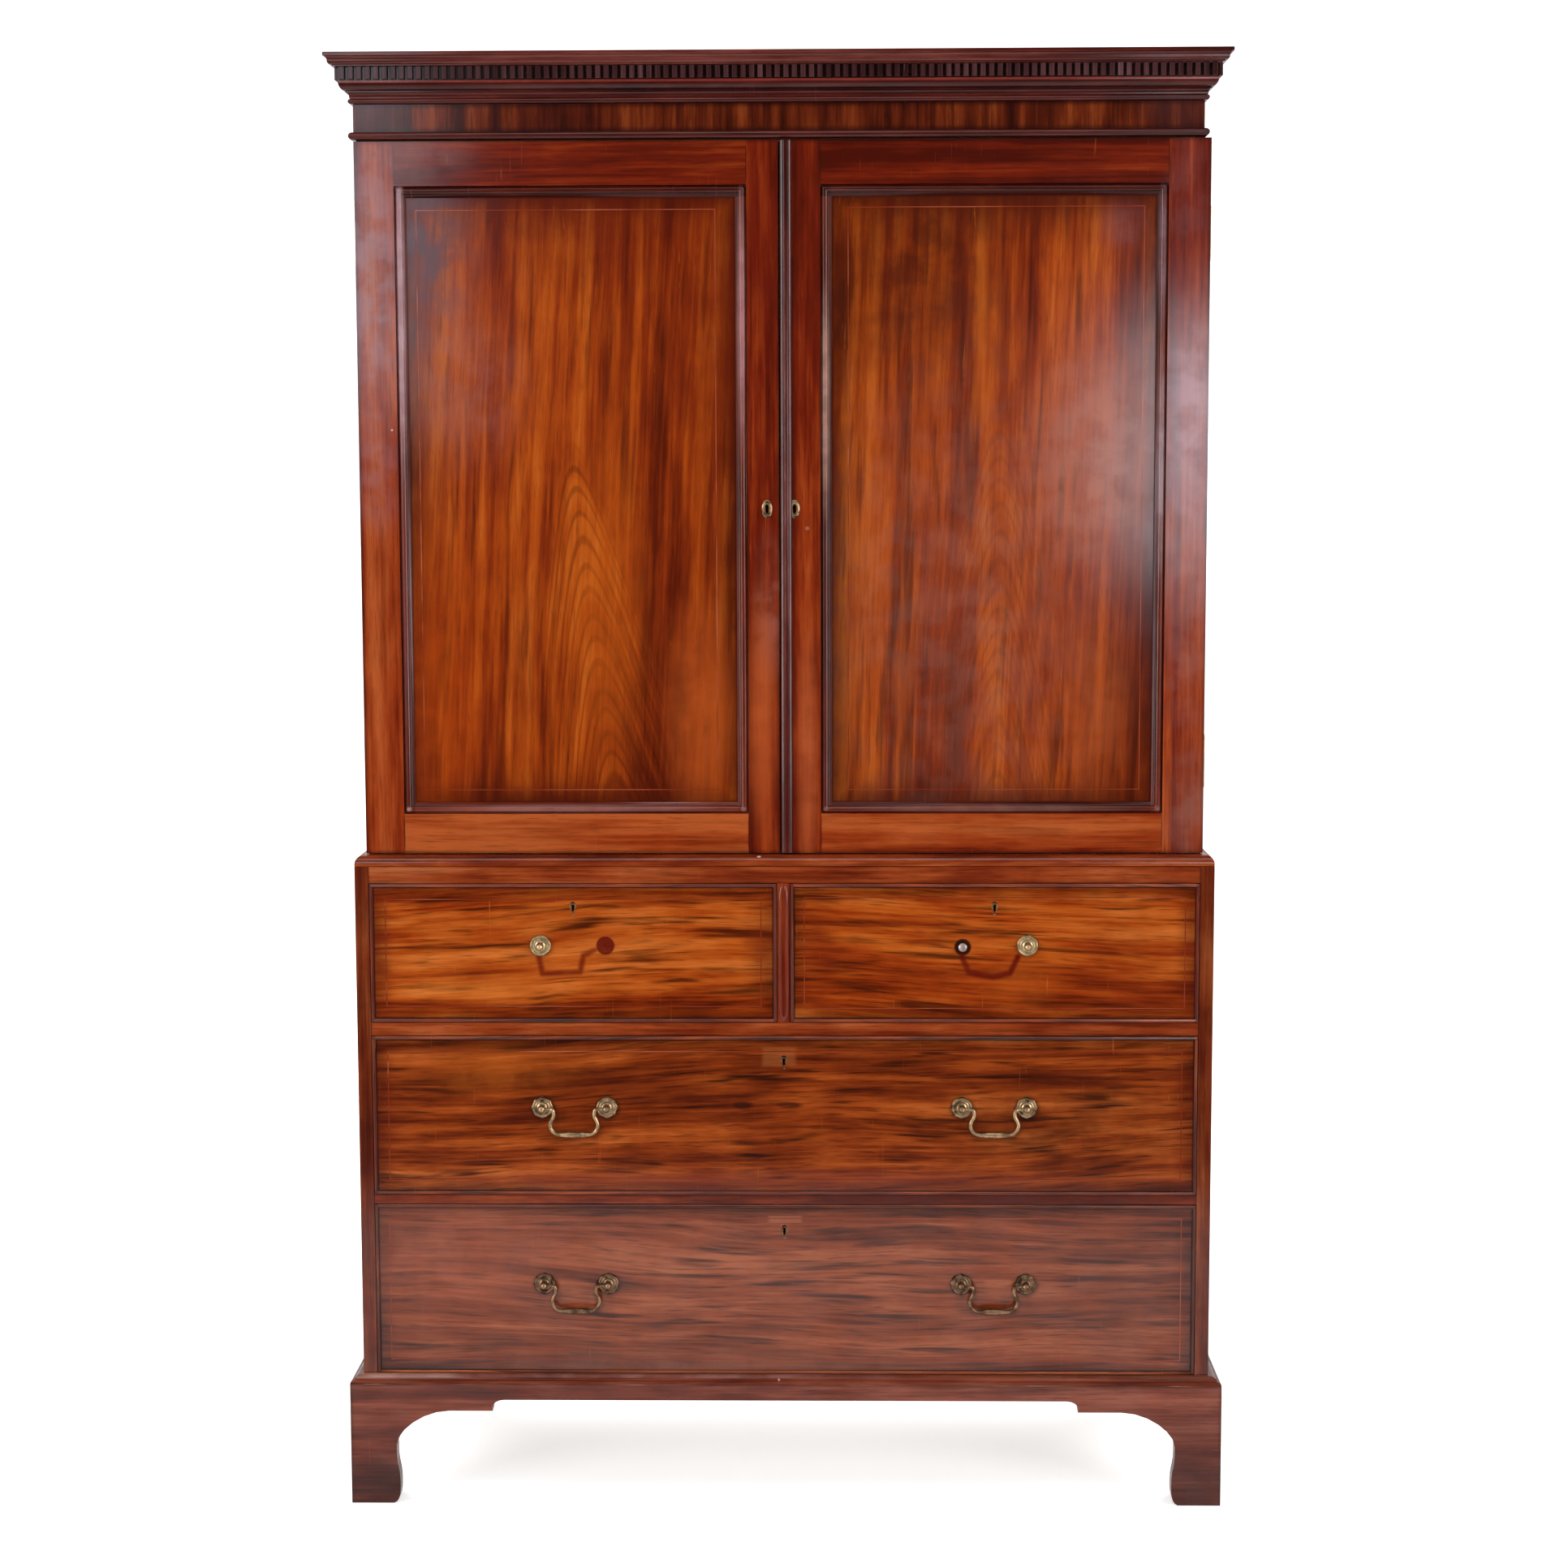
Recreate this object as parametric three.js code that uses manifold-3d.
// Linen press in two stages: a chest of four drawers, and on it a cupboard with four linen trays.
// Millimetres, +Z up, the front faces -Y, the origin is on the floor under the middle of the press.
import * as THREE from 'three';
import * as BufferGeometryUtils from 'three/addons/utils/BufferGeometryUtils.js';
import Module from 'manifold-3d';

const wasm = await Module();
wasm.setup();

// Driving sizes of the whole press
const overallDepth = 570;
const chestWidth = 1232;

// Fits between pieces
const seatGap = 0.3;
const sideClearance = 0.7;
const headClearance = 0.5;
const cutOverrun = 5;
const weldDistance = 0.0001;

// Boards of the chest
const sideBoard = 20;
const backBoard = 10;
const carcaseBase = 172;
const chestBottomBoard = 18;
const chestTopBoard = 24.1;
const lowDrawerOpening = 253.3;
const lowDividerThickness = 13.4;
const middleDrawerOpening = 234.4;
const highDividerThickness = 19.4;
const topDrawerOpening = 202.4;

// Dividers: front rail, bearers round the edge and a thin dust board
const dividerRailWidth = 60;
const dividerBearerWidth = 40;
const dustBoard = 6;

// Upright between the two top drawers, with a low drawer guide behind it
const partitionThickness = 17.7;
const partitionPostDepth = 60;
const partitionGuideHeight = 30;

// Plinth with bracket feet
const plinthProjection = 17.8;
const plinthBoard = 22;
const plinthMouldHeight = 11.4;
const plinthStep = 4.8;
const plinthStepHeight = 5;
const plinthQuirk = 1.5;
const plinthOvoloWidth = 10;
const apronRail = 23.1;
const bracketDrop = 16.5;
const bracketLength = 208;
const bracketArcRise = 51;
const bracketArcEnd = 145;
const cuspRise = 6;
const cuspLength = 17;
const footToeWidth = 62;
const footBulgeWidth = 71.6;
const footBulgeHeightShare = 0.375;
const footWaistWidth = 67;
const footWaistHeightShare = 0.852;
const footBulgePullShare = 0.45;
const footToePullShare = 0.12;
const bracketUpPullShare = 0.4;
const bracketBackPullShare = 0.5;
const footBlock = 38;
const footBlockLift = 8;

// Moulding round the chest top, which holds the cupboard
const waistMouldHeight = 16;
const waistFillet = 3;
const waistFlat = 2.2;

// Cupboard carcase
const cupboardSetback = 15.5;
const cupboardHeight = 1025.4;
const cupboardBottomBoard = 20;
const cupboardTopBoard = 20;
const cupboardBackInset = 2;

// Doors
const doorThickness = 22;
const doorBackGap = 1;
const doorFootGap = 1.2;
const doorHeadGap = 2.2;
const leftDoorMeeting = 4.6;
const rightDoorMeeting = 2.9;
const leftOuterStile = 55.5;
const rightOuterStile = 58.5;
const leftMeetingStile = 45;
const rightMeetingStile = 57;
const bottomRail = 57;
const topRail = 61.5;
const panelThickness = 9;
const panelSink = 8;
const panelRebate = 10;
const panelMouldWidth = 16;
const panelMouldQuirk = 7;
const panelMouldQuirkSink = 4;
const panelMouldBeadSink = 0.4;
const astragalWidth = 16.5;
const astragalRaise = 4.6;
const astragalInset = 1;

// Butt hinges, two to a door
const hingeLength = 76;
const hingeFromEnd = 130;
const hingeAxisOut = 0.7;
const knuckleRadius = 3.2;
const knuckleCount = 5;
const hingePinRadius = 1.5;
const hingeTipLength = 2;
const leafThickness = 1.6;
const leafGap = 0.4;
const leafInset = 1;
const leafToKnuckle = 0.5;

// Linen trays and their bearers
const trayCount = 4;
const trayHeadroom = 13.4;
const trayHeight = 108;
const trayFrontSpace = 56.7;
const trayWall = 9;
const trayFloor = 7;
const trayBackGap = 5;
const traySideClearance = 1.5;
const trayFrontHeight = 64;
const trayFrontEar = 70;
const trayScoopCurve = 60;
const bearerHeight = 16;
const bearerWidth = 12;

// Frieze box and cornice, one loose unit that sits a little to the left
const friezeSetback = 4;
const friezeHeight = 49;
const friezeBoard = 20;
const friezeTopBoard = 10;
const friezeBeadHeight = 11;
const friezeBeadProjection = 6;
const corniceShift = -5;
const corniceHeight = 67.7;
const corniceProjection = 35;
const corniceInside = 18;
const corniceBackRail = 20;
const dentilPitch = 11.9;
const dentilGap = 4.7;

// Drawers
const drawerFrontThickness = 20;
const drawerSide = 10;
const drawerBack = 10;
const drawerFloor = 8;
const drawerFloorLift = 6;
const drawerBoxDrop = 14;
const drawerBackGap = 15;
const cockbeadWidth = 5.5;
const cockbeadRaise = 2.8;
const cockbeadRoot = 3;

// Locks
const keyholeRadius = 3.4;
const keyholeSlotWidth = 3.4;
const keyholeSlotLength = 11;
const topKeyholeDrop = 29.6;
const middleKeyholeDrop = 31.8;
const lowKeyholeDrop = 34;
const doorKeyholeRise = 497;
const leftDoorKeyholeInset = 17.3;
const rightDoorKeyholeInset = 20;

// Handles
const handleFromMiddle = 303;
const handleBore = 93.4;
const topHandleRise = 11;
const middleHandleRise = 12;
const lowHandleRise = 8;
const rosetteRadius = 15.3;
const rosetteReach = 13;
const pommelRadius = 5.4;
const neckRadius = 3.2;
const boltRadius = 2.2;
const boltHoleRadius = 2.7;
const boltEnd = 3;
const nutRadius = 6;
const nutThickness = 4;
const bailPinRadius = 1.7;
const bailBoreRadius = 2.1;
const bailPinPast = 3;
const bailRadius = 2.7;
const bailDrop = 37.4;
const bailSwellRadius = 4.6;
const bailSwellLength = 44;

// How finely curves are cut
const mouldingSteps = 4;
const footSteps = 6;
const knuckleSides = 12;
const pinSides = 8;
const rosetteSides = 10;
const bailSides = 6;
const bailSteps = 22;

// Colours and finishes
const finishes = {
  mahogany: { color: 0x7a3418, roughness: 0.32, metalness: 0 },
  mahoganyDark: { color: 0x54241a, roughness: 0.38, metalness: 0 },
  mahoganyPanel: { color: 0x8c3d18, roughness: 0.26, metalness: 0 },
  drawerVeneer: { color: 0x91471f, roughness: 0.34, metalness: 0 },
  oak: { color: 0xa98357, roughness: 0.62, metalness: 0 },
  pine: { color: 0xb48c5a, roughness: 0.7, metalness: 0 },
  brass: { color: 0x9c7f52, roughness: 0.42, metalness: 0.9 },
};

// Places worked out from the sizes above
const halfChest = chestWidth / 2;
const halfCupboard = halfChest - cupboardSetback;
const halfFrieze = halfCupboard - friezeSetback;
const backPlane = overallDepth / 2;
const chestFront = plinthProjection - backPlane;
const chestBackFront = backPlane - backBoard;
const chestFloor = carcaseBase + chestBottomBoard;
const plinthMouldTop = chestFloor;
const plinthFaceHeight = plinthMouldTop - plinthMouldHeight;
const apronHeight = plinthFaceHeight - apronRail;
const bracketHeight = apronHeight - bracketDrop;
const bracketArcStart = bracketHeight - bracketArcRise;
const footBulgeHeight = footBulgeHeightShare * bracketArcStart;
const footWaistHeight = footWaistHeightShare * bracketArcStart;
const lowDividerBase = chestFloor + lowDrawerOpening;
const middleFloor = lowDividerBase + lowDividerThickness;
const highDividerBase = middleFloor + middleDrawerOpening;
const topFloor = highDividerBase + highDividerThickness;
const topBoardBase = topFloor + topDrawerOpening;
const chestTop = topBoardBase + chestTopBoard;
const insideChest = halfChest - sideBoard;

const doorFront = chestFront + cupboardSetback;
const doorBack = doorFront + doorThickness;
const cupboardFront = doorBack + doorBackGap;
const cupboardBack = backPlane - cupboardBackInset;
const cupboardBase = chestTop + seatGap;
const cupboardTop = cupboardBase + cupboardHeight;
const cupboardFloor = cupboardBase + cupboardBottomBoard;
const insideCupboard = halfCupboard - sideBoard;
const doorBottom = cupboardBase + waistMouldHeight + doorFootGap;
const doorTop = cupboardTop - doorHeadGap;
const trayBack = cupboardBack - backBoard - trayBackGap;
const trayFront = cupboardFront + trayFrontSpace;
const trayPitch = (cupboardTop - cupboardTopBoard - cupboardFloor - trayHeadroom) / trayCount;

const friezeBase = cupboardTop + seatGap;
const friezeFront = doorFront + friezeSetback;
const corniceBase = friezeBase + friezeHeight + seatGap;

const hingeAxisX = halfCupboard + hingeAxisOut;
const hingeAxisY = doorBack + doorBackGap / 2;
const hingeCentres = [doorBottom + hingeFromEnd, doorTop - hingeFromEnd];

// Turns a closed mesh into a solid that can be joined and cut, with its faces turned outwards
function solid(geometry) {
  const bare = geometry.clone();
  bare.deleteAttribute('normal');
  bare.deleteAttribute('uv');
  const welded = BufferGeometryUtils.mergeVertices(bare, weldDistance);
  const vertProperties = new Float32Array(welded.attributes.position.array);
  const triVerts = new Uint32Array(welded.index.array);
  if (enclosedVolume(vertProperties, triVerts) < 0) {
    for (let k = 0; k < triVerts.length; k += 3) {
      [triVerts[k + 1], triVerts[k + 2]] = [triVerts[k + 2], triVerts[k + 1]];
    }
  }
  return new wasm.Manifold(new wasm.Mesh({ numProp: 3, vertProperties, triVerts }));
}

// Volume inside a closed mesh, negative where its faces point inwards
function enclosedVolume(positions, triangles) {
  const [a, b, c] = [new THREE.Vector3(), new THREE.Vector3(), new THREE.Vector3()];
  let volume = 0;
  for (let k = 0; k < triangles.length; k += 3) {
    a.fromArray(positions, triangles[k] * 3);
    b.fromArray(positions, triangles[k + 1] * 3);
    c.fromArray(positions, triangles[k + 2] * 3);
    volume += a.dot(b.cross(c));
  }
  return volume;
}

// Gives the finished solid back as a mesh geometry
function surface(body) {
  const mesh = body.getMesh();
  const geometry = new THREE.BufferGeometry();
  geometry.setAttribute('position', new THREE.BufferAttribute(mesh.vertProperties, 3));
  geometry.setIndex(new THREE.BufferAttribute(mesh.triVerts, 1));
  geometry.computeVertexNormals();
  return geometry;
}

// A board between two opposite corners
function board([x0, y0, z0], [x1, y1, z1]) {
  const geometry = new THREE.BoxGeometry(x1 - x0, y1 - y0, z1 - z0);
  geometry.translate((x0 + x1) / 2, (y0 + y1) / 2, (z0 + z1) / 2);
  return solid(geometry);
}

// A round bar from one point along a direction
function roundBar(start, direction, length, radius, sides) {
  const geometry = new THREE.CylinderGeometry(radius, radius, length, sides);
  geometry.translate(0, length / 2, 0);
  const turn = new THREE.Quaternion().setFromUnitVectors(new THREE.Vector3(0, 1, 0), direction);
  geometry.applyQuaternion(turn);
  geometry.translate(start.x, start.y, start.z);
  return solid(geometry);
}

// An outline in the XZ plane, cut out of a board that runs from y0 to y1
function cutAlongY(shape, y0, y1, divisions) {
  const geometry = new THREE.ExtrudeGeometry(shape, {
    depth: y1 - y0, bevelEnabled: false, curveSegments: divisions,
  });
  geometry.rotateX(Math.PI / 2);
  geometry.translate(0, y1, 0);
  return solid(geometry);
}

// Profile points of a quarter turn from a to b, leaving a outward or upward
function quarterTurn(a, b, leaving, steps) {
  const points = [];
  for (let step = 1; step <= steps; step += 1) {
    const turn = (step / steps) * (Math.PI / 2);
    const across = leaving === 'out' ? Math.sin(turn) : 1 - Math.cos(turn);
    const along = leaving === 'out' ? 1 - Math.cos(turn) : Math.sin(turn);
    points.push([a[0] + (b[0] - a[0]) * across, a[1] + (b[1] - a[1]) * along]);
  }
  return points;
}

// A profile from a table of shares: each row says how to go on, and to which point
function profileFromShares(shares, width, height) {
  const points = [];
  for (const [way, outShare, upShare] of shares) {
    const next = [outShare * width, upShare * height];
    if (way === 'line') {
      points.push(next);
    } else {
      points.push(...quarterTurn(points[points.length - 1], next, way, mouldingSteps));
    }
  }
  return points;
}

// A moulding: one closed profile of [out, up] points carried past stations, mitred at each corner.
// A station has a place, the way that out points there, and the way that up points.
function moulding(profile, stations, closed) {
  const outline = profile.map(([outward, upward]) => new THREE.Vector2(outward, upward));
  if (THREE.ShapeUtils.isClockWise(outline)) {
    outline.reverse();
  }
  const points = stations.flatMap(({ place, out, up }) => outline.map((corner) => (
    place.clone().addScaledVector(out, corner.x).addScaledVector(up, corner.y)
  )));
  const count = outline.length;
  const index = [];
  const spans = closed ? stations.length : stations.length - 1;
  for (let span = 0; span < spans; span += 1) {
    const here = span * count;
    const there = ((span + 1) % stations.length) * count;
    for (let k = 0; k < count; k += 1) {
      const next = (k + 1) % count;
      index.push(here + k, there + k, there + next);
      index.push(here + k, there + next, here + next);
    }
  }
  if (!closed) {
    const last = spans * count;
    for (const [a, b, c] of THREE.ShapeUtils.triangulateShape(outline, [])) {
      index.push(a, b, c);
      index.push(last + a, last + c, last + b);
    }
  }
  const geometry = new THREE.BufferGeometry().setFromPoints(points);
  geometry.setIndex(index);
  return solid(geometry);
}

// Stations of a moulding that goes round the left side, the front and the right side
function aroundThreeSides(halfWidth, front, back, middle) {
  const up = new THREE.Vector3(0, 0, 1);
  return [
    { place: new THREE.Vector3(middle - halfWidth, back, 0), out: new THREE.Vector3(-1, 0, 0), up },
    { place: new THREE.Vector3(middle - halfWidth, front, 0), out: new THREE.Vector3(-1, -1, 0), up },
    { place: new THREE.Vector3(middle + halfWidth, front, 0), out: new THREE.Vector3(1, -1, 0), up },
    { place: new THREE.Vector3(middle + halfWidth, back, 0), out: new THREE.Vector3(1, 0, 0), up },
  ];
}

// Stations of a bead that goes round inside a rectangle in the XZ plane, rising towards the viewer
function insideRectangle(left, right, bottom, top, face) {
  const up = new THREE.Vector3(0, -1, 0);
  return [
    { place: new THREE.Vector3(left, face, bottom), out: new THREE.Vector3(1, 0, 1), up },
    { place: new THREE.Vector3(right, face, bottom), out: new THREE.Vector3(-1, 0, 1), up },
    { place: new THREE.Vector3(right, face, top), out: new THREE.Vector3(-1, 0, -1), up },
    { place: new THREE.Vector3(left, face, top), out: new THREE.Vector3(1, 0, -1), up },
  ];
}

// A named mesh with its own finish
function piece(name, body, finish) {
  const mesh = new THREE.Mesh(surface(body), new THREE.MeshStandardMaterial(finishes[finish]));
  mesh.name = name;
  return mesh;
}

// Plinth: profile of the boards, out from the chest face and up from the floor
function plinthProfile() {
  const quirkOut = plinthProjection - plinthStep - plinthQuirk;
  const quirkHeight = plinthFaceHeight + plinthStepHeight;
  const ovoloBase = [quirkOut, quirkHeight + plinthQuirk];
  const lap = plinthBoard - plinthProjection;
  const faceTop = [plinthProjection, plinthFaceHeight];
  const stepTop = [plinthProjection - plinthStep, quirkHeight];
  const ovoloTop = [quirkOut - plinthOvoloWidth, plinthMouldTop];
  return [
    [-lap, 0],
    [plinthProjection, 0],
    faceTop,
    ...quarterTurn(faceTop, stepTop, 'up', mouldingSteps),
    [quirkOut, quirkHeight],
    ovoloBase,
    ...quarterTurn(ovoloBase, ovoloTop, 'up', mouldingSteps),
    [seatGap, plinthMouldTop],
    [seatGap, carcaseBase - seatGap],
    [-lap, carcaseBase - seatGap],
  ];
}

// The air under the plinth between two feet: outline in the plane of the board.
// Both feet stand with their outer edges at plus and minus halfLength.
function underPlinth(halfLength) {
  const shape = new THREE.Shape();
  const foot = (side) => {
    const at = (fromEdge) => side * (halfLength - fromEdge);
    const down = side < 0;
    const steps = [
      [at(footToeWidth), -cutOverrun],
      [at(footToeWidth), 0],
      ...bezierPoints(
        [at(footToeWidth), 0],
        [at(footBulgeWidth), footBulgeHeight * footToePullShare],
        [at(footBulgeWidth), footBulgeHeight * footBulgePullShare],
        [at(footBulgeWidth), footBulgeHeight],
      ),
      ...bezierPoints(
        [at(footBulgeWidth), footBulgeHeight],
        [at(footBulgeWidth), footBulgeHeight + (footWaistHeight - footBulgeHeight) * footBulgePullShare],
        [at(footWaistWidth), footWaistHeight - (footWaistHeight - footBulgeHeight) * footBulgePullShare],
        [at(footWaistWidth), footWaistHeight],
      ),
      [at(footWaistWidth), bracketArcStart],
      ...bezierPoints(
        [at(footWaistWidth), bracketArcStart],
        [at(footWaistWidth), bracketArcStart + (bracketHeight - bracketArcStart) * bracketUpPullShare],
        [at(bracketArcEnd - (bracketArcEnd - footWaistWidth) * bracketBackPullShare), bracketHeight],
        [at(bracketArcEnd), bracketHeight],
      ),
      [at(bracketLength), bracketHeight],
      [at(bracketLength), bracketHeight + cuspRise],
      ...quarterTurn(
        [at(bracketLength), bracketHeight + cuspRise],
        [at(bracketLength + cuspLength), apronHeight],
        'up',
        mouldingSteps,
      ),
    ];
    return down ? steps : steps.reverse();
  };
  const outline = [...foot(-1), ...foot(1)];
  shape.setFromPoints(outline.map(([x, y]) => new THREE.Vector2(x, y)));
  return shape;
}

function bezierPoints(a, b, c, d) {
  const vectors = [a, b, c, d].map(([x, y]) => new THREE.Vector2(x, y));
  const curve = new THREE.CubicBezierCurve(...vectors);
  return curve.getPoints(footSteps).slice(1).map((point) => [point.x, point.y]);
}

function buildPlinth() {
  const profile = plinthProfile();
  const stations = aroundThreeSides(halfChest, chestFront, backPlane, 0);
  const frontStations = [stations[1], stations[2]].map((station) => ({
    ...station,
    place: station.place.clone().setX(station.place.x - Math.sign(station.place.x) * seatGap),
  }));
  const frontBoard = moulding(profile, frontStations, false);
  const halfFront = halfChest + plinthProjection;
  const frontAir = cutAlongY(
    underPlinth(halfFront),
    -backPlane - cutOverrun,
    chestFront + plinthBoard,
    footSteps,
  );
  const group = new THREE.Group();
  group.add(piece('plinth_front', frontBoard.subtract(frontAir), 'mahoganyDark'));

  const quarterTurnDegrees = 90;
  const leftAir = cutAlongY(
    underPlinth(overallDepth / 2),
    -halfFront - cutOverrun,
    plinthBoard - halfChest,
    footSteps,
  ).rotate([0, 0, -quarterTurnDegrees]);
  for (const side of [-1, 1]) {
    const ends = side < 0 ? [stations[0], stations[1]] : [stations[2], stations[3]];
    let body = moulding(profile, ends, false);
    const air = side < 0 ? leftAir : leftAir.mirror([1, 0, 0]);
    body = body.subtract(air);
    const inner = halfChest - (plinthBoard - plinthProjection);
    const joinedEdge = inner + seatGap;
    const frontOfBlock = chestFront + plinthBoard - plinthProjection + seatGap;
    const blockStarts = [frontOfBlock, backPlane - footBlock];
    for (const blockStart of blockStarts) {
      const xs = [side * joinedEdge, side * (inner - footBlock)].sort((a, b) => a - b);
      body = body.add(board(
        [xs[0], blockStart, footBlockLift],
        [xs[1], blockStart + footBlock, carcaseBase - seatGap],
      ));
    }
    group.add(piece(side < 0 ? 'plinth_left' : 'plinth_right', body, 'mahoganyDark'));
  }
  return group;
}

// Chest carcase
function divider(base, thickness) {
  const left = -insideChest + seatGap;
  const back = chestBackFront - seatGap;
  const slab = board([left, chestFront, base], [-left, back, base + thickness]);
  const pocket = board(
    [left + dividerBearerWidth, chestFront + dividerRailWidth, base - cutOverrun],
    [-left - dividerBearerWidth, back - dividerBearerWidth, base + thickness - dustBoard],
  );
  return slab.subtract(pocket);
}

function buildChest() {
  const group = new THREE.Group();
  for (const side of [-1, 1]) {
    const xs = [side * insideChest, side * halfChest].sort((a, b) => a - b);
    const body = board([xs[0], chestFront, carcaseBase], [xs[1], backPlane, chestTop]);
    group.add(piece(side < 0 ? 'lower_side_left' : 'lower_side_right', body, 'mahogany'));
  }
  const left = -insideChest + seatGap;
  const back = chestBackFront - seatGap;
  group.add(piece(
    'lower_bottom',
    board([left, chestFront, carcaseBase], [-left, back, chestFloor - seatGap]),
    'pine',
  ));
  group.add(piece(
    'lower_top',
    board([left, chestFront, topBoardBase], [-left, back, chestTop]),
    'mahogany',
  ));
  group.add(piece(
    'lower_back',
    board([left, chestBackFront, carcaseBase], [-left, backPlane, chestTop]),
    'pine',
  ));
  group.add(piece('divider_lower', divider(lowDividerBase, lowDividerThickness), 'mahogany'));
  group.add(piece('divider_upper', divider(highDividerBase, highDividerThickness), 'mahogany'));

  const partitionBase = topFloor + seatGap;
  const half = partitionThickness / 2;
  const post = board(
    [-half, chestFront, partitionBase],
    [half, chestFront + partitionPostDepth, topBoardBase - seatGap],
  );
  const guide = board(
    [-half, chestFront, partitionBase],
    [half, back, partitionBase + partitionGuideHeight],
  );
  group.add(piece('drawer_partition', post.add(guide), 'mahogany'));

  const reach = cupboardSetback - seatGap;
  const filletTop = [0, cupboardBase + waistFillet];
  const flatEdge = [waistFlat - reach, cupboardBase + waistMouldHeight - seatGap];
  const waistProfile = [
    [-reach, cupboardBase],
    [0, cupboardBase],
    filletTop,
    ...quarterTurn(filletTop, flatEdge, 'up', mouldingSteps),
    [-reach, flatEdge[1]],
  ];
  const ring = moulding(waistProfile, aroundThreeSides(halfChest, chestFront, backPlane, 0), false);
  const shelf = board(
    [-halfCupboard, chestFront + reach - seatGap, cupboardBase],
    [halfCupboard, cupboardFront - seatGap, flatEdge[1]],
  );
  group.add(piece('waist_moulding', ring.add(shelf), 'mahoganyDark'));
  return group;
}

// Butt hinges: the case leaf carries the outer knuckles, the door leaf the others and the pin
function hingeRecesses(side, leafFront, leafBack) {
  const cuts = [];
  for (const centre of hingeCentres) {
    const low = centre - hingeLength / 2 - seatGap;
    const high = centre + hingeLength / 2 + seatGap;
    const xs = [side * (insideCupboard + leafInset - seatGap), side * hingeAxisX].sort((a, b) => a - b);
    cuts.push(board([xs[0], leafFront, low], [xs[1], leafBack, high]));
    const foot = new THREE.Vector3(side * hingeAxisX, hingeAxisY, low - hingeTipLength);
    const along = new THREE.Vector3(0, 0, 1);
    const reliefLength = high - low + hingeTipLength * 2;
    cuts.push(roundBar(foot, along, reliefLength, knuckleRadius + seatGap, knuckleSides));
  }
  return cuts;
}

function hingeLeaf(side, centre, ownKnuckle, backwards, withPin) {
  const knuckle = hingeLength / knuckleCount;
  const low = centre - hingeLength / 2;
  const front = backwards ? hingeAxisY + leafGap / 2 : hingeAxisY - leafGap / 2 - leafThickness;
  const back = front + leafThickness;
  const plateOuter = hingeAxisX - knuckleRadius - leafToKnuckle;
  const plateXs = [side * (insideCupboard + leafInset), side * plateOuter].sort((a, b) => a - b);
  let body = board([plateXs[0], front, low], [plateXs[1], back, low + hingeLength]);
  const up = new THREE.Vector3(0, 0, 1);
  const bores = [];
  for (let k = 0; k < knuckleCount; k += 1) {
    if (!ownKnuckle(k)) {
      continue;
    }
    const start = low + k * knuckle + (k > 0 ? seatGap / 2 : 0);
    const end = low + (k + 1) * knuckle - (k < knuckleCount - 1 ? seatGap / 2 : 0);
    const fingerXs = [side * (plateOuter - leafToKnuckle), side * hingeAxisX].sort((a, b) => a - b);
    body = body.add(board([fingerXs[0], front, start], [fingerXs[1], back, end]));
    const foot = new THREE.Vector3(side * hingeAxisX, hingeAxisY, start);
    body = body.add(roundBar(foot, up, end - start, knuckleRadius, knuckleSides));
    const boreFoot = foot.clone().setZ(start - cutOverrun);
    bores.push(roundBar(boreFoot, up, end - start + cutOverrun * 2, hingePinRadius + seatGap, pinSides));
  }
  if (withPin) {
    const foot = new THREE.Vector3(side * hingeAxisX, hingeAxisY, low - hingeTipLength);
    return body.add(roundBar(foot, up, hingeLength + hingeTipLength * 2, hingePinRadius, pinSides));
  }
  return bores.reduce((rest, bore) => rest.subtract(bore), body);
}

function addHinges(group, side, sideName) {
  const places = ['lower', 'upper'];
  hingeCentres.forEach((centre, k) => {
    const base = `hinge_${sideName}_${places[k]}`;
    const caseLeaf = hingeLeaf(side, centre, (n) => n % 2 === 0, true, false);
    const doorLeaf = hingeLeaf(side, centre, (n) => n % 2 === 1, false, true);
    group.add(piece(`${base}_case_leaf`, caseLeaf, 'brass'));
    group.add(piece(`${base}_door_leaf`, doorLeaf, 'brass'));
  });
}

// Cupboard carcase
function trayLevel(k) {
  return cupboardFloor + seatGap + bearerHeight + seatGap + k * trayPitch;
}

function buildCupboard() {
  const group = new THREE.Group();
  for (const side of [-1, 1]) {
    const xs = [side * insideCupboard, side * halfCupboard].sort((a, b) => a - b);
    let body = board([xs[0], cupboardFront, cupboardBase], [xs[1], cupboardBack, cupboardTop]);
    for (let k = 0; k < trayCount; k += 1) {
      const top = trayLevel(k) - seatGap;
      const bearerXs = [side * (insideCupboard - bearerWidth), side * (insideCupboard + seatGap)];
      bearerXs.sort((a, b) => a - b);
      body = body.add(board(
        [bearerXs[0], trayFront, top - bearerHeight],
        [bearerXs[1], trayBack, top],
      ));
    }
    const recessBack = hingeAxisY + leafGap / 2 + leafThickness + seatGap;
    for (const cut of hingeRecesses(side, cupboardFront - cutOverrun, recessBack)) {
      body = body.subtract(cut);
    }
    group.add(piece(side < 0 ? 'upper_side_left' : 'upper_side_right', body, 'mahogany'));
  }
  const left = -insideCupboard + seatGap;
  const back = cupboardBack - backBoard;
  group.add(piece(
    'upper_bottom',
    board([left, cupboardFront, cupboardBase], [-left, back - seatGap, cupboardFloor]),
    'pine',
  ));
  group.add(piece(
    'upper_top',
    board([left, cupboardFront, cupboardTop - cupboardTopBoard], [-left, back - seatGap, cupboardTop]),
    'pine',
  ));
  group.add(piece('upper_back', board([left, back, cupboardBase], [-left, cupboardBack, cupboardTop]), 'pine'));
  return group;
}

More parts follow.
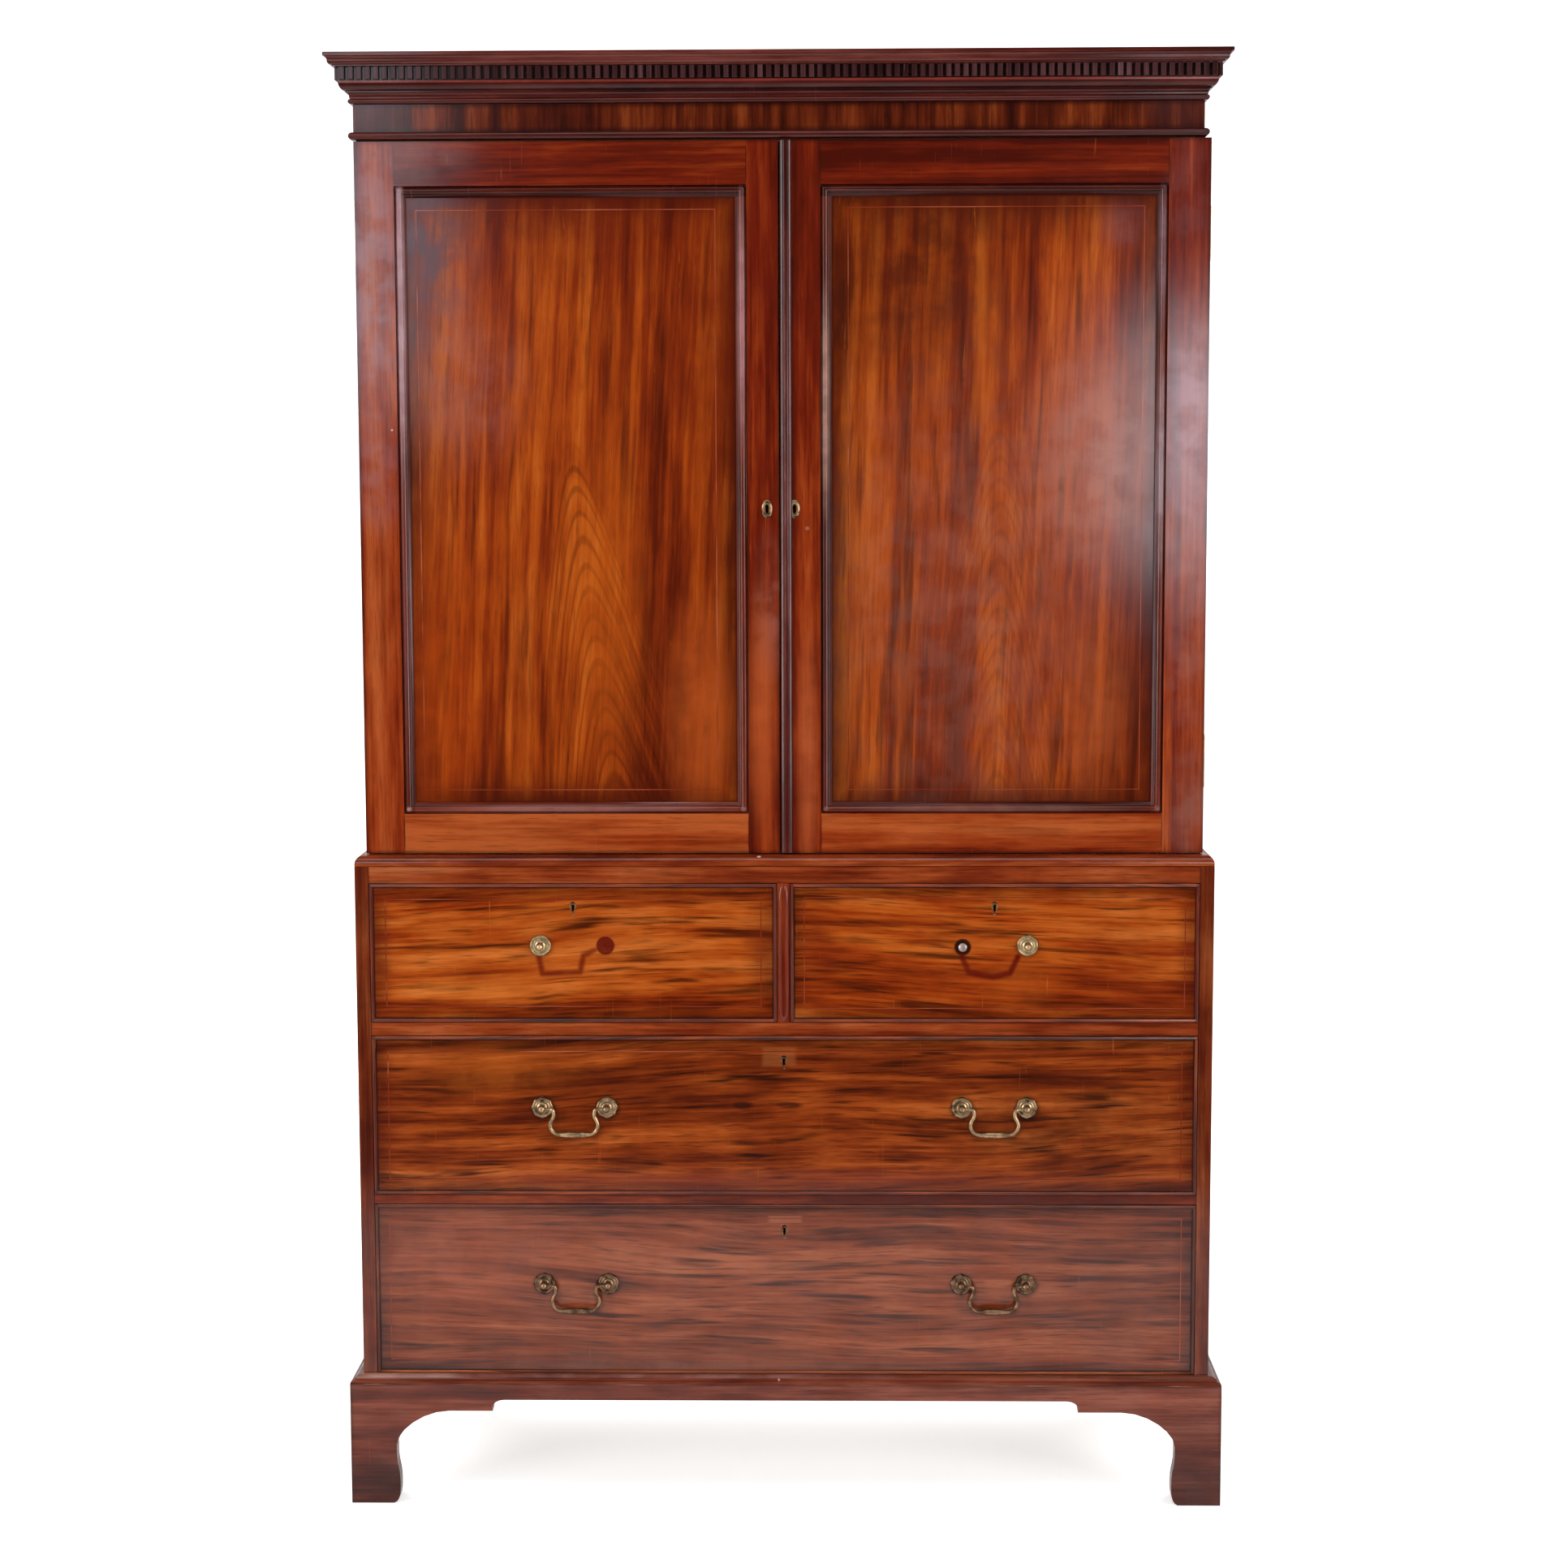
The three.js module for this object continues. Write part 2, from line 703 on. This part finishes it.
// Frieze box: three-sided board with a bead along its lower edge, a back rail and a top board
function buildFrieze() {
  const beadTop = [0, friezeBase + friezeBeadHeight];
  const beadMiddle = [friezeBeadProjection, friezeBase + friezeBeadHeight / 2];
  const beadFoot = [0, friezeBase];
  const profile = [
    [-friezeBoard, friezeBase],
    beadFoot,
    ...quarterTurn(beadFoot, beadMiddle, 'out', mouldingSteps),
    ...quarterTurn(beadMiddle, beadTop, 'up', mouldingSteps),
    [0, friezeBase + friezeHeight],
    [-friezeBoard, friezeBase + friezeHeight],
  ];
  const stations = aroundThreeSides(halfFrieze, friezeFront, cupboardBack, corniceShift);
  const ring = moulding(profile, stations, false);
  const inner = halfFrieze - friezeBoard + seatGap;
  const rail = board(
    [corniceShift - inner, cupboardBack - friezeBoard, friezeBase],
    [corniceShift + inner, cupboardBack, friezeBase + friezeHeight],
  );
  const lid = board(
    [corniceShift - inner, friezeFront + friezeBoard - seatGap, friezeBase + friezeHeight - friezeTopBoard],
    [corniceShift + inner, cupboardBack, friezeBase + friezeHeight],
  );
  return piece('frieze', ring.add(rail).add(lid), 'mahogany');
}

// Cornice profile as shares of its projection and height, from the bead at its foot to the top fillet
const corniceShares = [
  ['line', 0.02, 0],
  ['out', 0.157, 0.052],
  ['up', 0.08, 0.104],
  ['line', 0.1, 0.115],
  ['up', 0.2, 0.225],
  ['line', 0.229, 0.225],
  ['line', 0.229, 0.258],
  ['out', 0.486, 0.44],
  ['line', 0.486, 0.468],
  ['line', 0.643, 0.468],
  ['line', 0.643, 0.734],
  ['line', 0.686, 0.734],
  ['line', 0.686, 0.762],
  ['line', 0.735, 0.762],
  ['out', 0.85, 0.835],
  ['up', 0.97, 0.926],
  ['line', 1, 0.926],
  ['line', 1, 1],
];
const dentilFootShare = 0.44;
const dentilTopShare = 0.734;
const dentilGapFloorShare = 0.503;

function buildCornice() {
  const profile = [
    [-corniceInside, 0],
    ...profileFromShares(corniceShares, corniceProjection, corniceHeight),
    [-corniceInside, corniceHeight],
  ].map(([out, up]) => [out, up + corniceBase]);
  const stations = aroundThreeSides(halfFrieze, friezeFront, cupboardBack, corniceShift);
  const ring = moulding(profile, stations, false);
  const inner = halfFrieze - corniceInside + seatGap;
  const rail = board(
    [corniceShift - inner, cupboardBack - corniceBackRail, corniceBase],
    [corniceShift + inner, cupboardBack, corniceBase + corniceHeight - seatGap],
  );
  const low = corniceBase + dentilFootShare * corniceHeight;
  const high = corniceBase + dentilTopShare * corniceHeight;
  const gaps = [];
  const faceOut = corniceProjection;
  const dentilGapFloorOut = dentilGapFloorShare * corniceProjection;
  const frontHalf = halfFrieze + dentilGapFloorOut;
  const frontCount = Math.floor((frontHalf * 2) / dentilPitch);
  const frontRun = (frontCount - 1) * dentilPitch;
  for (let k = 0; k < frontCount; k += 1) {
    const middle = corniceShift - frontRun / 2 + k * dentilPitch;
    gaps.push(board(
      [middle - dentilGap / 2, friezeFront - faceOut, low],
      [middle + dentilGap / 2, friezeFront - dentilGapFloorOut, high],
    ));
  }
  const sideRunStart = friezeFront - dentilGapFloorOut + dentilPitch / 2;
  const sideCount = Math.floor((cupboardBack - sideRunStart) / dentilPitch);
  for (let k = 0; k < sideCount; k += 1) {
    const middle = sideRunStart + k * dentilPitch;
    for (const side of [-1, 1]) {
      const xs = [
        corniceShift + side * (halfFrieze + dentilGapFloorOut),
        corniceShift + side * (halfFrieze + faceOut),
      ].sort((a, b) => a - b);
      gaps.push(board([xs[0], middle - dentilGap / 2, low], [xs[1], middle + dentilGap / 2, high]));
    }
  }
  const notches = wasm.Manifold.union(gaps);
  return piece('cornice', ring.add(rail).subtract(notches), 'mahoganyDark');
}

// A keyhole: a round eye over a slot, cut right through a board from y0 to y1
function keyhole(x, z, y0, y1) {
  const shape = new THREE.Shape();
  const half = keyholeSlotWidth / 2;
  const slotJoin = Math.sqrt(keyholeRadius ** 2 - half ** 2);
  const joinAngle = Math.atan2(-slotJoin, half);
  shape.moveTo(x - half, z - keyholeSlotLength);
  shape.lineTo(x + half, z - keyholeSlotLength);
  shape.lineTo(x + half, z - slotJoin);
  shape.absarc(x, z, keyholeRadius, joinAngle, Math.PI - joinAngle, false);
  shape.closePath();
  return cutAlongY(shape, y0, y1, mouldingSteps);
}

// Doors
function buildDoor(side) {
  const group = new THREE.Group();
  const sideName = side < 0 ? 'left' : 'right';
  const meeting = side < 0 ? -leftDoorMeeting : -rightDoorMeeting;
  const meetingStile = side < 0 ? leftMeetingStile : rightMeetingStile;
  const outerStile = side < 0 ? leftOuterStile : rightOuterStile;
  const outer = side * halfCupboard;
  const [leafLeft, leafRight] = side < 0 ? [outer, meeting] : [meeting, outer];
  const openLeft = side < 0 ? outer + outerStile : meeting + meetingStile;
  const openRight = side < 0 ? meeting - meetingStile : outer - outerStile;
  const openBottom = doorBottom + bottomRail;
  const openTop = doorTop - topRail;

  let frame = board([leafLeft, doorFront, doorBottom], [leafRight, doorBack, doorTop]);
  frame = frame.subtract(board(
    [openLeft, doorFront - cutOverrun, openBottom],
    [openRight, doorBack + cutOverrun, openTop],
  ));
  frame = frame.subtract(board(
    [openLeft - panelRebate, doorFront + panelSink - seatGap, openBottom - panelRebate],
    [openRight + panelRebate, doorBack + cutOverrun, openTop + panelRebate],
  ));
  const keyInset = side < 0 ? leftDoorKeyholeInset : rightDoorKeyholeInset;
  const keyX = meeting + side * keyInset;
  const keyZ = doorBottom + doorKeyholeRise;
  frame = frame.subtract(keyhole(keyX, keyZ, doorFront - cutOverrun, doorBack + cutOverrun));
  const recessFront = hingeAxisY - leafGap / 2 - leafThickness - seatGap;
  for (const cut of hingeRecesses(side, recessFront, doorBack + cutOverrun)) {
    frame = frame.subtract(cut);
  }
  group.add(piece(`door_${sideName}_frame`, frame, 'mahogany'));

  const panelGap = panelRebate - seatGap;
  group.add(piece(`door_${sideName}_panel`, board(
    [openLeft - panelGap, doorFront + panelSink, openBottom - panelGap],
    [openRight + panelGap, doorFront + panelSink + panelThickness, openTop + panelGap],
  ), 'mahoganyPanel'));

  const beadFoot = -(panelSink - seatGap);
  const beadRadius = (panelMouldWidth - panelMouldQuirk) / 2;
  const beadSide = -panelMouldBeadSink - beadRadius;
  const crest = [panelMouldQuirk + beadRadius, -panelMouldBeadSink];
  const profile = [
    [seatGap, beadFoot],
    [seatGap, -panelMouldQuirkSink + panelMouldBeadSink],
    [panelMouldQuirk, -panelMouldQuirkSink],
    ...quarterTurn([panelMouldQuirk, beadSide], crest, 'up', mouldingSteps).slice(1),
    ...quarterTurn(crest, [panelMouldWidth, beadSide], 'out', mouldingSteps),
    [panelMouldWidth, beadFoot],
  ];
  const stations = insideRectangle(openLeft, openRight, openBottom, openTop, doorFront);
  group.add(piece(`door_${sideName}_moulding`, moulding(profile, stations, true), 'mahoganyDark'));

  if (side > 0) {
    const shape = new THREE.Shape();
    const edge = doorFront - seatGap;
    const half = astragalWidth / 2;
    const middle = meeting + half;
    const bottom = doorBottom + astragalInset;
    shape.absellipse(middle, edge, half, astragalRaise, Math.PI, Math.PI * 2, false, 0);
    shape.closePath();
    const geometry = new THREE.ExtrudeGeometry(shape, {
      depth: doorTop - doorBottom - astragalInset * 2, bevelEnabled: false, curveSegments: mouldingSteps * 2,
    });
    geometry.translate(0, 0, bottom);
    group.add(piece('door_right_astragal', solid(geometry), 'mahogany'));
  }
  addHinges(group, side, sideName);
  return group;
}

// Linen trays: a low scooped front between two ears
function buildTray(k) {
  const halfWidth = insideCupboard - traySideClearance;
  const base = trayLevel(k);
  const outside = board([-halfWidth, trayFront, base], [halfWidth, trayBack, base + trayHeight]);
  const inside = board(
    [-halfWidth + trayWall, trayFront + trayWall, base + trayFloor],
    [halfWidth - trayWall, trayBack - trayWall, base + trayHeight + cutOverrun],
  );
  const scoopTop = base + trayHeight;
  const scoopFoot = base + trayFrontHeight;
  const halfScoop = halfWidth - trayFrontEar;
  const scoop = new THREE.Shape();
  const drop = (side) => {
    const edge = [side * halfScoop, scoopTop];
    const low = [side * (halfScoop - trayScoopCurve), scoopFoot];
    return [[edge[0], scoopTop + cutOverrun], edge, ...quarterTurn(edge, low, 'up', footSteps)];
  };
  const outline = [...drop(-1), ...drop(1).reverse()];
  scoop.setFromPoints(outline.map(([x, y]) => new THREE.Vector2(x, y)));
  const dip = cutAlongY(scoop, trayFront - cutOverrun, trayFront + trayWall + cutOverrun, footSteps);
  return piece(`linen_tray_${k + 1}`, outside.subtract(inside).subtract(dip), 'oak');
}

// Drawers: everything is built where it stands when shut
function drawerSizes(left, right, floor, opening) {
  return {
    left: left + sideClearance,
    right: right - sideClearance,
    bottom: floor + headClearance,
    top: floor + opening - headClearance,
  };
}

function drawerFront({ left, right, bottom, top }, keyX, keyDrop, boltXs, boltZ) {
  let body = board([left, chestFront, bottom], [right, chestFront + drawerFrontThickness, top]);
  const beadHalf = cockbeadWidth / 2;
  const profile = [
    [0, -cockbeadRoot],
    [0, 0],
    ...quarterTurn([0, 0], [beadHalf, cockbeadRaise], 'up', mouldingSteps),
    ...quarterTurn([beadHalf, cockbeadRaise], [cockbeadWidth, 0], 'out', mouldingSteps),
    [cockbeadWidth, -cockbeadRoot],
  ];
  body = body.add(moulding(profile, insideRectangle(left, right, bottom, top, chestFront), true));
  const cutFront = chestFront - cutOverrun;
  const cutBack = chestFront + drawerFrontThickness + cutOverrun;
  body = body.subtract(keyhole(keyX, top - keyDrop, cutFront, cutBack));
  for (const x of boltXs) {
    const start = new THREE.Vector3(x, cutFront, boltZ);
    body = body.subtract(
      roundBar(start, new THREE.Vector3(0, 1, 0), cutBack - cutFront, boltHoleRadius, pinSides),
    );
  }
  return body;
}

function drawerBox({ left, right, bottom, top }) {
  const front = chestFront + drawerFrontThickness + seatGap;
  const back = chestBackFront - drawerBackGap;
  const outside = board([left, front, bottom], [right, back, top - drawerBoxDrop]);
  const inside = board(
    [left + drawerSide, front - cutOverrun, bottom + drawerFloorLift + drawerFloor],
    [right - drawerSide, back - drawerBack, top],
  );
  const under = board(
    [left + drawerSide, front - cutOverrun, bottom - cutOverrun],
    [right - drawerSide, back + cutOverrun, bottom + drawerFloorLift],
  );
  return outside.subtract(inside).subtract(under);
}

// Rosette profile as shares: radius of the plate, and distance from the drawer face to the pommel centre
const rosettePlateShares = [
  [1, 0.023],
  [1, 0.125],
  [0.9, 0.2],
  [0.7, 0.14],
  [0.45, 0.26],
];

function rosette() {
  const behind = drawerFrontThickness + seatGap;
  const pommelFoot = Math.sqrt(pommelRadius ** 2 - neckRadius ** 2);
  const outline = [
    [0, -(behind + nutThickness + boltEnd)],
    [boltRadius, -(behind + nutThickness + boltEnd)],
    [boltRadius, -(behind + nutThickness)],
    [nutRadius, -(behind + nutThickness)],
    [nutRadius, -behind],
    [boltRadius, -behind],
    [boltRadius, seatGap],
    ...rosettePlateShares.map(([radius, reach]) => [radius * rosetteRadius, reach * rosetteReach]),
    [neckRadius, rosetteReach - pommelFoot],
  ];
  const footAngle = Math.atan2(-pommelFoot, neckRadius);
  for (let step = 1; step <= mouldingSteps; step += 1) {
    const angle = footAngle + (Math.PI / 2 - footAngle) * (step / mouldingSteps);
    const radius = step === mouldingSteps ? 0 : pommelRadius * Math.cos(angle);
    outline.push([radius, rosetteReach + pommelRadius * Math.sin(angle)]);
  }
  const points = outline.map(([radius, reach]) => new THREE.Vector2(radius, reach));
  const geometry = new THREE.LatheGeometry(points, rosetteSides);
  geometry.rotateX(Math.PI);
  const start = new THREE.Vector3(-pommelRadius * 2, -rosetteReach, 0);
  const across = new THREE.Vector3(1, 0, 0);
  const bore = roundBar(start, across, pommelRadius * 4, bailBoreRadius, pinSides);
  return solid(geometry).subtract(bore);
}

// Swan-neck bail: half of its line as shares of the half bore and of the drop, from post to middle
const bailLineShares = [
  [0.28, 0],
  [0.355, -0.06],
  [0.37, -0.28],
  [0.285, -0.5],
  [0.265, -0.68],
  [0.345, -0.88],
  [0.5, -0.99],
  [0.75, -1],
];

function bail() {
  const half = handleBore / 2;
  const leftLine = bailLineShares.map(([x, z]) => new THREE.Vector3(x * half - half, 0, z * bailDrop));
  const rightLine = leftLine.map((point) => new THREE.Vector3(-point.x, 0, point.z)).reverse();
  const curve = new THREE.CatmullRomCurve3([...leftLine, ...rightLine], false, 'centripetal');
  const section = new THREE.Shape();
  section.absarc(0, 0, bailRadius, 0, Math.PI * 2, false);
  const tube = new THREE.ExtrudeGeometry(section, {
    steps: bailSteps, extrudePath: curve, curveSegments: bailSides / 2, bevelEnabled: false,
  });
  let body = solid(tube);
  const across = new THREE.Vector3(1, 0, 0);
  for (const side of [-1, 1]) {
    const inner = Math.abs(leftLine[0].x);
    const outer = half + bailPinPast;
    const start = new THREE.Vector3(side < 0 ? -outer : inner - bailRadius, 0, 0);
    body = body.add(roundBar(start, across, outer - inner + bailRadius, bailPinRadius, pinSides));
  }
  const swell = new THREE.SphereGeometry(bailSwellRadius, pinSides, mouldingSteps * 2);
  swell.rotateZ(Math.PI / 2);
  swell.scale(bailSwellLength / 2 / bailSwellRadius, 1, 1);
  swell.translate(0, 0, -bailDrop);
  return body.add(solid(swell));
}

function buildDrawers() {
  const group = new THREE.Group();
  const halfPartition = partitionThickness / 2;
  const outwards = { handles: [-1, 1], posts: [[-1, 1], [-1, 1]], bails: true };
  const rows = [
    {
      name: 'top_left', left: -insideChest, right: -halfPartition,
      floor: topFloor, opening: topDrawerOpening, rise: topHandleRise, keyDrop: topKeyholeDrop,
      handles: [-1], posts: [[-1]], bails: false,
    },
    {
      name: 'top_right', left: halfPartition, right: insideChest,
      floor: topFloor, opening: topDrawerOpening, rise: topHandleRise, keyDrop: topKeyholeDrop,
      handles: [1], posts: [[1]], bails: false,
    },
    {
      name: 'middle', left: -insideChest, right: insideChest,
      floor: middleFloor, opening: middleDrawerOpening, rise: middleHandleRise,
      keyDrop: middleKeyholeDrop, ...outwards,
    },
    {
      name: 'low', left: -insideChest, right: insideChest,
      floor: chestFloor, opening: lowDrawerOpening, rise: lowHandleRise,
      keyDrop: lowKeyholeDrop, ...outwards,
    },
  ];
  for (const row of rows) {
    const sizes = drawerSizes(row.left, row.right, row.floor, row.opening);
    const handleZ = (sizes.bottom + sizes.top) / 2 + row.rise;
    const keyX = (row.left + row.right) / 2;
    const handleXs = row.handles.map((side) => side * handleFromMiddle);
    const boltXs = handleXs.flatMap((x) => [x - handleBore / 2, x + handleBore / 2]);
    const front = drawerFront(sizes, keyX, row.keyDrop, boltXs, handleZ);
    const drawer = new THREE.Group();
    drawer.add(piece(`drawer_${row.name}_front`, front, 'drawerVeneer'));
    drawer.add(piece(`drawer_${row.name}_box`, drawerBox(sizes), 'oak'));
    handleXs.forEach((x, k) => {
      const handle = new THREE.Group();
      handle.position.set(x, chestFront, handleZ);
      const handleName = x < 0 ? 'left' : 'right';
      for (const end of row.posts[k]) {
        const endName = end < 0 ? 'left' : 'right';
        const mesh = piece(`rosette_${row.name}_${handleName}_${endName}`, rosette(), 'brass');
        mesh.position.set((end * handleBore) / 2, 0, 0);
        handle.add(mesh);
      }
      if (row.bails) {
        const mesh = piece(`bail_${row.name}_${handleName}`, bail(), 'brass');
        mesh.position.set(0, -rosetteReach, 0);
        handle.add(mesh);
      }
      drawer.add(handle);
    });
    group.add(drawer);
  }
  return group;
}

// The whole press
const press = new THREE.Group();
press.name = 'linen_press';
press.add(buildPlinth());
press.add(buildChest());
press.add(buildCupboard());
press.add(buildFrieze());
press.add(buildCornice());
press.add(buildDrawers());
press.add(buildDoor(-1));
press.add(buildDoor(1));
for (let k = 0; k < trayCount; k += 1) {
  press.add(buildTray(k));
}

export default press;
